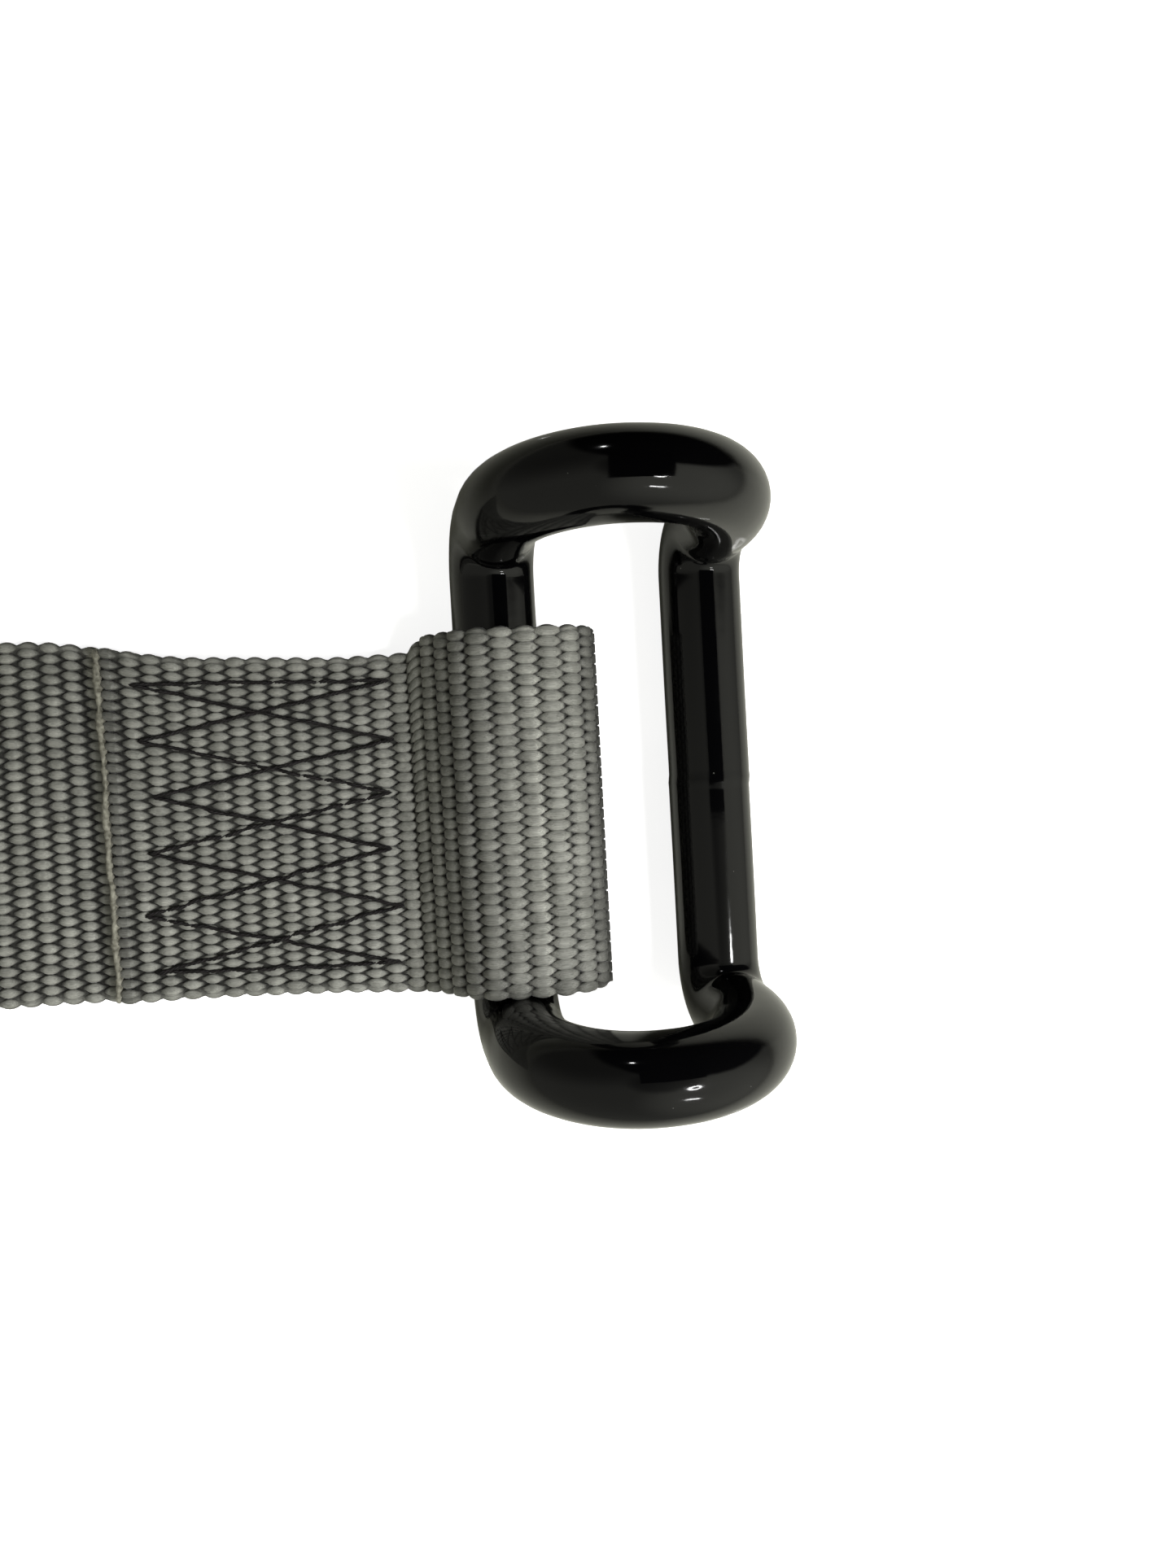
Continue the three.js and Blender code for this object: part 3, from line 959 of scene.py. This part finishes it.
def ramp(tree, value, start, end, low, high, kind="LINEAR"):
    """Map Range node that takes value from start to end and gives low to high."""
    node = add(tree, "ShaderNodeMapRange", From_Min=start, From_Max=end, To_Min=low, To_Max=high)
    node.interpolation_type = kind
    tree.links.new(value, node.inputs["Value"])
    return node.outputs[0]


webbing, tree, shader = new_material("grey webbing")
place = add(tree, "ShaderNodeAttribute", attribute_name="flat_place")
tones = place_group(
    tree,
    drift,
    Place=place.outputs["Vector"],
    Scale=520.0,
    Dark=(0.26, 0.262, 0.235, 1),
    Light=(0.44, 0.442, 0.4, 1),
)
fibres = place_group(tree, streaks, Place=place.outputs["Vector"], Along=420.0, Across=11000.0)
parts = add(tree, "ShaderNodeSeparateXYZ")
tree.links.new(place.outputs["Vector"], parts.inputs[0])
along_webbing = parts.outputs["X"]
# Painted shade: the deeper a point lies in the webbing, the darker its colour.
depth = math_node(tree, "ABSOLUTE", parts.outputs["Z"])
light_reach = ramp(tree, depth, *LIGHT_DEPTHS, DEEPEST_TONE, 1.0, "SMOOTHSTEP")
streak_tone = ramp(tree, fibres.outputs["Height"], 0.3, 0.7, *STREAK_TONES)
shade = math_node(tree, "MULTIPLY", light_reach, streak_tone)

# %% [markdown]
# Some marks depend on where a place is along the webbing, so they are masks over that distance:
#
# - Next to the cut end the heat has singed the yarn, and the last rib is darker and shinier.
# - Where the loop's top turns down into its nose, a pale line across it is a painted highlight.
# - The nose below that line, and the slope behind the bar, are darker with painted shade.

# %% Singed end, painted highlight line and painted shade
SINGED_LENGTH = 3 * MM
SINGED_TONE = -0.45
SINGED_GLOSS = -0.26
# Painted highlight: place, reach and brightness of the pale line across the loop.
SHEEN_LINE_X = 4.4 * MM
SHEEN_LINE_REACH = 1.3 * MM
SHEEN_LINE_TONE = 0.65
# Painted shade on the loop's nose below the highlight line:
NOSE_TONES = (0.2, 0.92)
NOSE_SHADE_TURNS = (0.62, 0.86)
# Painted shade round the foot of the slope behind the bar:
SLOPE_REACH = 9 * MM
SLOPE_TONE = 0.68
SLOPE_FROM_TAIL = 0.5 * MM


def away_from(tree, along, place):
    """Distance along the webbing from one place on it."""
    return math_node(tree, "ABSOLUTE", math_node(tree, "SUBTRACT", along, place))


singed_start = webbing_length - SINGED_LENGTH
singed = ramp(tree, along_webbing, singed_start, singed_start + SINGED_LENGTH / 2, 0.0, 1.0)
spared = math_node(tree, "MULTIPLY_ADD", singed, SINGED_TONE, 1.0)
shade = math_node(tree, "MULTIPLY", shade, spared)

nose_length = math.pi * nose_radius
# Painted highlight: a pale streaky line across the loop where its top turns down into the nose.
sheen_line_place = nose_start + nose_length + nose_x - SHEEN_LINE_X
from_sheen_line = away_from(tree, along_webbing, sheen_line_place)
sheen_line = ramp(tree, from_sheen_line, 0.0, SHEEN_LINE_REACH, 1.0, 0.0, "SMOOTHSTEP")
painted_sheen = math_node(tree, "MULTIPLY", sheen_line, fibres.outputs["Height"])
painted_sheen = math_node(tree, "MULTIPLY_ADD", painted_sheen, SHEEN_LINE_TONE, 1.0)
shade = math_node(tree, "MULTIPLY", shade, painted_sheen)

# Painted shade: the nose up to past its middle is made much darker, it lightens towards the top, and the
# webbing after it is a little darker.
nose_shade_start, nose_shade_end = [nose_start + turn * nose_length for turn in NOSE_SHADE_TURNS]
nose_shade = ramp(tree, along_webbing, nose_shade_start, nose_shade_end, *NOSE_TONES)
before_nose = math_node(tree, "LESS_THAN", along_webbing, nose_start)
nose_shade = math_node(tree, "MAXIMUM", nose_shade, before_nose)
shade = math_node(tree, "MULTIPLY", shade, nose_shade)

# Painted shade: the webbing is darker round the foot of the slope, fading out over SLOPE_REACH each way.
from_slope = away_from(tree, along_webbing, tail_start + SLOPE_FROM_TAIL)
slope_shade = ramp(tree, from_slope, 0.0, SLOPE_REACH, SLOPE_TONE, 1.0, "SMOOTHSTEP")
shade = math_node(tree, "MULTIPLY", shade, slope_shade)

# %% [markdown]
# Last, the shader gets its colour, which is the drifting tone times all the masks, a roughness and
# a fine relief from the same streaks. A little sheen stands for the fuzz of loose fibres.

# %% Webbing surface
roughness = math_node(tree, "MULTIPLY_ADD", singed, SINGED_GLOSS, 0.5)
tree.links.new(roughness, shader.inputs["Roughness"])
tint = add(tree, "ShaderNodeVectorMath", operation="SCALE")
tree.links.new(tones.outputs["Tone"], tint.inputs[0])
tree.links.new(shade, tint.inputs["Scale"])
tree.links.new(tint.outputs[0], shader.inputs["Base Color"])
relief = add(tree, "ShaderNodeBump", Strength=0.6, Distance=0.04 * MM)
tree.links.new(fibres.outputs["Height"], relief.inputs["Height"])
tree.links.new(relief.outputs[0], shader.inputs["Normal"])
shader.inputs["Sheen Weight"].default_value = 0.15
shader.inputs["Sheen Roughness"].default_value = 0.4

# %% [markdown]
# ## Melted polyester
#
# Polyester that has melted sets hard, shiny and paler, with brown where it got too hot. So its two
# tones lie far apart, in small patches, over a lumpy surface.

# %% Melted polyester material
melted, tree, shader = new_material("melted end")
place = add(tree, "ShaderNodeAttribute", attribute_name="flat_place")
tones = place_group(
    tree,
    drift,
    Place=place.outputs["Vector"],
    Scale=1500.0,
    Dark=(0.12, 0.115, 0.09, 1),
    Light=(0.46, 0.45, 0.37, 1),
)
tree.links.new(tones.outputs["Tone"], shader.inputs["Base Color"])
lumps = add(tree, "ShaderNodeTexNoise", Scale=2600.0, Detail=2.0)
tree.links.new(place.outputs["Vector"], lumps.inputs["Vector"])
relief = add(tree, "ShaderNodeBump", Strength=0.8, Distance=0.15 * MM)
tree.links.new(lumps.outputs["Fac"], relief.inputs["Height"])
tree.links.new(relief.outputs[0], shader.inputs["Normal"])
shader.inputs["Roughness"].default_value = 0.4

# %% [markdown]
# ## Black thread
#
# The thread is dyed black, with a brownish cast where light catches the filaments.

# %% Thread material
thread, tree, shader = new_material("black thread")
place = add(tree, "ShaderNodeTexCoord")
tones = place_group(
    tree,
    drift,
    Place=place.outputs["Object"],
    Scale=900.0,
    Dark=(0.004, 0.0035, 0.004, 1),
    Light=(0.016, 0.013, 0.014, 1),
)
tree.links.new(tones.outputs["Tone"], shader.inputs["Base Color"])
fuzz = add(tree, "ShaderNodeTexNoise", Scale=6000.0, Detail=1.0)
tree.links.new(place.outputs["Object"], fuzz.inputs["Vector"])
relief = add(tree, "ShaderNodeBump", Strength=0.4, Distance=0.03 * MM)
tree.links.new(fuzz.outputs["Fac"], relief.inputs["Height"])
tree.links.new(relief.outputs[0], shader.inputs["Normal"])
shader.inputs["Roughness"].default_value = 0.5

# %% [markdown]
# ## Black paint
#
# The bar is dipped in gloss black paint. It mirrors the room, slightly softened by the orange
# peel of the paint film, and dust has settled on it.

# %% Paint material
PAINT_ROUGHNESS = (0.04, 0.12)

paint, tree, shader = new_material("black paint")
place = add(tree, "ShaderNodeTexCoord")
specks = place_group(tree, dust, Place=place.outputs["Object"], Scale=380.0, Size=0.05)
base = add(tree, "ShaderNodeMix", data_type="RGBA")
base.inputs[6].default_value = (0.0015, 0.0015, 0.0018, 1)
base.inputs[7].default_value = (0.12, 0.12, 0.11, 1)
tree.links.new(specks.outputs["Mask"], base.inputs[0])
tree.links.new(base.outputs[2], shader.inputs["Base Color"])
haze = add(tree, "ShaderNodeTexNoise", Scale=180.0, Detail=4.0)
tree.links.new(place.outputs["Object"], haze.inputs["Vector"])
roughness = ramp(tree, haze.outputs["Fac"], 0.3, 0.7, *PAINT_ROUGHNESS)
tree.links.new(roughness, shader.inputs["Roughness"])
peel = add(tree, "ShaderNodeTexNoise", Scale=420.0, Detail=1.5)
tree.links.new(place.outputs["Object"], peel.inputs["Vector"])
relief = add(tree, "ShaderNodeBump", Strength=0.12, Distance=0.1 * MM)
tree.links.new(peel.outputs["Fac"], relief.inputs["Height"])
tree.links.new(relief.outputs[0], shader.inputs["Normal"])

# %% [markdown]
# ## Finish and body of each piece
#
# Every piece gets its finish and rides the body it belongs to, and the solids of the measured
# model that the pieces replace are hidden. The weft ribbon is the cloth: it was cut flat, 50 mm
# wide, and folded once.

for piece in [weft, *warp_pieces]:
    piece.data.materials.append(webbing)
for piece in (tail_seal, far_seal, filaments):
    piece.data.materials.append(melted)
for piece in (needle_thread, bobbin_thread):
    piece.data.materials.append(thread)
hook.data.materials.append(paint)

for piece in [weft, *warp_pieces, tail_seal, far_seal, filaments]:
    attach(piece, "strap")
for piece, node in ((needle_thread, "seam_thread_top"), (bobbin_thread, "seam_thread_underside")):
    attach(piece, "strap")
    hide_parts(node)
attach(hook, "hook")
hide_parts("closed_hook")
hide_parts("webbing_strap")

# %% [markdown]
# ## Floor and light
#
# The photograph has a plain white ground and soft light, with one small round lamp that shows as
# a bright ring in the gloss paint. The floor is a large pale plane. It has two looks: the camera
# sees it nearly white, and the paint and the webbing meet it as a duller table top.

# %% Floor
FLOOR_SIZE = 60
FLOOR_GAP = 0.05 * MM


def camera_sees(tree, seen, otherwise, output):
    """Show one shader to the camera and another one to every other ray."""
    ray = add(tree, "ShaderNodeLightPath")
    either = add(tree, "ShaderNodeMixShader")
    tree.links.new(ray.outputs["Is Camera Ray"], either.inputs[0])
    tree.links.new(otherwise.outputs[0], either.inputs[1])
    tree.links.new(seen.outputs[0], either.inputs[2])
    tree.links.new(either.outputs[0], tree.nodes[output].inputs["Surface"])


bpy.ops.mesh.primitive_plane_add(size=FLOOR_SIZE, location=(0, 0, -FLOOR_GAP))
floor = bpy.context.active_object
floor.name = "floor"
ground, tree, shader = new_material("pale floor")
shader.inputs["Base Color"].default_value = (0.9, 0.9, 0.9, 1)
shader.inputs["Roughness"].default_value = 0.9
shader.inputs["Emission Color"].default_value = (1, 1, 1, 1)
shader.inputs["Emission Strength"].default_value = 0.85
table = add(tree, "ShaderNodeBsdfPrincipled", Roughness=0.06)
table.inputs["Base Color"].default_value = (0.68, 0.68, 0.6, 1)
camera_sees(tree, shader, table, "Material Output")
floor.data.materials.append(ground)

# %% [markdown]
# Gloss paint shows the whole room, so the room has to be there. It is made in the world, as a grey
# that is brighter or darker in some directions: paler towards a window, dark on one side, and
# less bright overhead. The camera itself sees a plain pale wall.

# %% Room
world = bpy.data.worlds.new("room")
world.use_nodes = True
tree = world.node_tree
backdrop = tree.nodes["Background"]
backdrop.inputs["Color"].default_value = (1.0, 1.0, 0.88, 1)
direction = add(tree, "ShaderNodeTexCoord")


def patch(centre, start, end, low, high):
    """Brightness that goes from low to high as directions turn towards centre."""
    facing = add(tree, "ShaderNodeVectorMath", operation="DOT_PRODUCT")
    facing.inputs[1].default_value = Vector(centre).normalized()
    tree.links.new(direction.outputs["Generated"], facing.inputs[0])
    return ramp(tree, facing.outputs["Value"], start, end, low, high, "SMOOTHSTEP")


window_side = patch(centre=(0.63, -0.44, 0.6), start=0.55, end=0.98, low=0.3, high=0.72)
dim_side = patch(centre=(-0.35, 0.85, 0.3), start=0.2, end=0.9, low=1.0, high=0.35)
dark_side = patch(centre=(0.42, 0.82, 0.38), start=0.62, end=0.72, low=1.0, high=0.02)
overhead = patch(centre=(0.1, 0.1, 1.0), start=0.88, end=0.97, low=1.0, high=0.4)
room = math_node(tree, "MULTIPLY", window_side, dim_side)
room = math_node(tree, "MULTIPLY", room, dark_side)
room = math_node(tree, "MULTIPLY", room, overhead)
tree.links.new(room, backdrop.inputs["Strength"])

wall = add(tree, "ShaderNodeBackground", Color=(0.93, 0.93, 0.92, 1), Strength=1.0)
camera_sees(tree, wall, backdrop, "World Output")
bpy.context.scene.world = world
bpy.context.scene.view_settings.view_transform = "Standard"

# %% [markdown]
# One soft light, high up and to the right, gives the webbing its shape. It is hidden from glossy
# rays, because its square would show in the paint. Two small strips give the thin gleams along the
# bar, and a ring of ten small lamps gives the bright ring.

# %% Lights
HOOK_MIDDLE_X = 15 * MM
KEY_SIZE = 0.12
KEY_POWER = 1.35
RING_LAMPS = 10
RING_RADIUS = 60 * MM
RING_LAMP_SIZE = 30 * MM
RING_LAMP_POWER = 0.12


def soft_light(name, place, size, power, shape="RECTANGLE"):
    """Area light that faces the loop. The camera doesn't see it."""
    data = bpy.data.lights.new(name, "AREA")
    data.shape = shape
    data.size = size[0]
    if shape == "RECTANGLE":
        data.size_y = size[1]
    data.energy = power
    light = bpy.data.objects.new(name, data)
    light.matrix_world = aim(Vector(place), Vector((0, 0, 0)), Vector((0.1, 1, 0.1)))
    bpy.context.scene.collection.objects.link(light)
    light.visible_camera = False
    return light


def towards(azimuth, elevation, distance):
    """Point at a compass direction and height angle from the middle of the hook, in metres."""
    level = distance * math.cos(math.radians(elevation))
    turn = math.radians(azimuth)
    lift = distance * math.sin(math.radians(elevation))
    return Vector((HOOK_MIDDLE_X + level * math.cos(turn), level * math.sin(turn), lift))


key = soft_light("soft_key", towards(-12, 60, 0.4), (KEY_SIZE, KEY_SIZE), KEY_POWER)
key.visible_glossy = False
soft_light("strip_far", towards(-60, 43, 1.0), (0.12, 0.02), 0.4)
soft_light("strip_near", towards(100, 36, 1.0), (0.04, 0.03), 0.2)

ring_middle = towards(-32, 61, 1.0)
for lamp in range(RING_LAMPS):
    turn = 2 * math.pi * lamp / RING_LAMPS
    spot = ring_middle + RING_RADIUS * Vector((math.cos(turn), math.sin(turn), 0))
    soft_light(f"ring_lamp_{lamp}", spot, (RING_LAMP_SIZE,), RING_LAMP_POWER, shape="DISK")
print(RING_LAMPS + 3, "lamps")

# %% [markdown]
# A black card stands just over the camera, where the body of a camera would be. Gloss black paint
# shows little but what it mirrors, so without the card the hook would look grey. The card is
# part of the studio: the camera doesn't see it, only the paint does.

# %% Black card
CARD_PLACE = (50 * MM, 65 * MM, 168 * MM)
CARD_SIZE = (120 * MM, 160 * MM)

bpy.ops.mesh.primitive_plane_add(size=1, location=CARD_PLACE)
card = bpy.context.active_object
card.name = "black_card"
card.scale = (*CARD_SIZE, 1)
card.visible_camera = False
flag, tree, shader = new_material("black card")
shader.inputs["Base Color"].default_value = (0, 0, 0, 1)
shader.inputs["Roughness"].default_value = 1.0
shader.inputs["Specular IOR Level"].default_value = 0.0
card.data.materials.append(flag)
